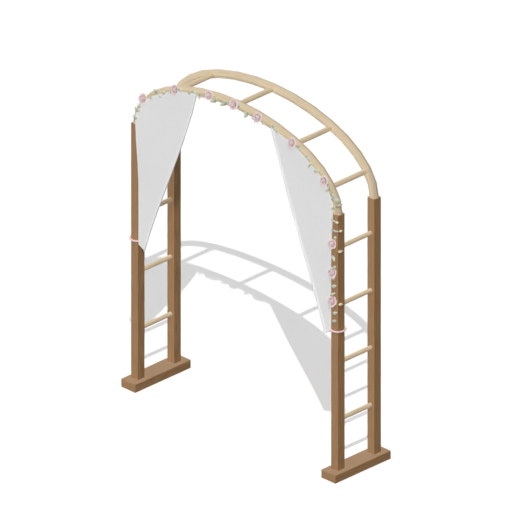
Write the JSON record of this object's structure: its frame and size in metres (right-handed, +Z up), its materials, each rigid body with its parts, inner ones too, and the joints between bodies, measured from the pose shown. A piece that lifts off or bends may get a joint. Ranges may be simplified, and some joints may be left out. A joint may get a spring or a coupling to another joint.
{
  "type": "garden wedding arch",
  "caption": "Free-standing timber wedding arch with ladder sides, bent hoops, tied-back drapes and a silk rose garland.",
  "frame": {"origin": "on the ground under the middle of the arch, halfway between the two sides and halfway between the front and back posts", "axes": "+Z up; X runs across the walkway, with +X towards the side whose post carries the garland; the front, with the drapes and the garland, faces -Y"},
  "size_m": [2.185, 0.568, 2.704],
  "materials": {
    "stained_timber": "brown stained and planed",
    "pale_timber": "clear oiled, bent and turned",
    "white_voile": "fine plain weave",
    "pink_ribbon": "satin cord",
    "silk_leaf": "dyed artificial silk on coated wire",
    "silk_petal": "dyed artificial silk"
  },
  "bodies": {
    "root": {"back_hoop": "pale_timber", "front_hoop": "pale_timber", "garland_vine_left": "silk_leaf", "garland_vine_post": "silk_leaf", "garland_vine_right": "silk_leaf", "left_back_post": "stained_timber", "left_drape": "white_voile", "left_foot_beam": "stained_timber", "left_front_post": "stained_timber", "left_rung_1": "pale_timber", "left_rung_2": "pale_timber", "left_rung_3": "pale_timber", "left_rung_4": "pale_timber", "left_tie_ring": "pink_ribbon", "right_back_post": "stained_timber", "right_drape": "white_voile", "right_foot_beam": "stained_timber", "right_front_post": "stained_timber", "right_rung_1": "pale_timber", "right_rung_2": "pale_timber", "right_rung_3": "pale_timber", "right_rung_4": "pale_timber", "right_tie_ring": "pink_ribbon", "rose_1": "silk_petal", "rose_10": "silk_petal", "rose_2": "silk_petal", "rose_3": "silk_petal", "rose_4": "silk_petal", "rose_5": "silk_petal", "rose_6": "silk_petal", "rose_7": "silk_petal", "rose_8": "silk_petal", "rose_9": "silk_petal", "top_bar_1": "pale_timber", "top_bar_2": "pale_timber", "top_bar_3": "pale_timber", "top_bar_4": "pale_timber", "top_bar_5": "pale_timber"}
  },
  "joints": []
}
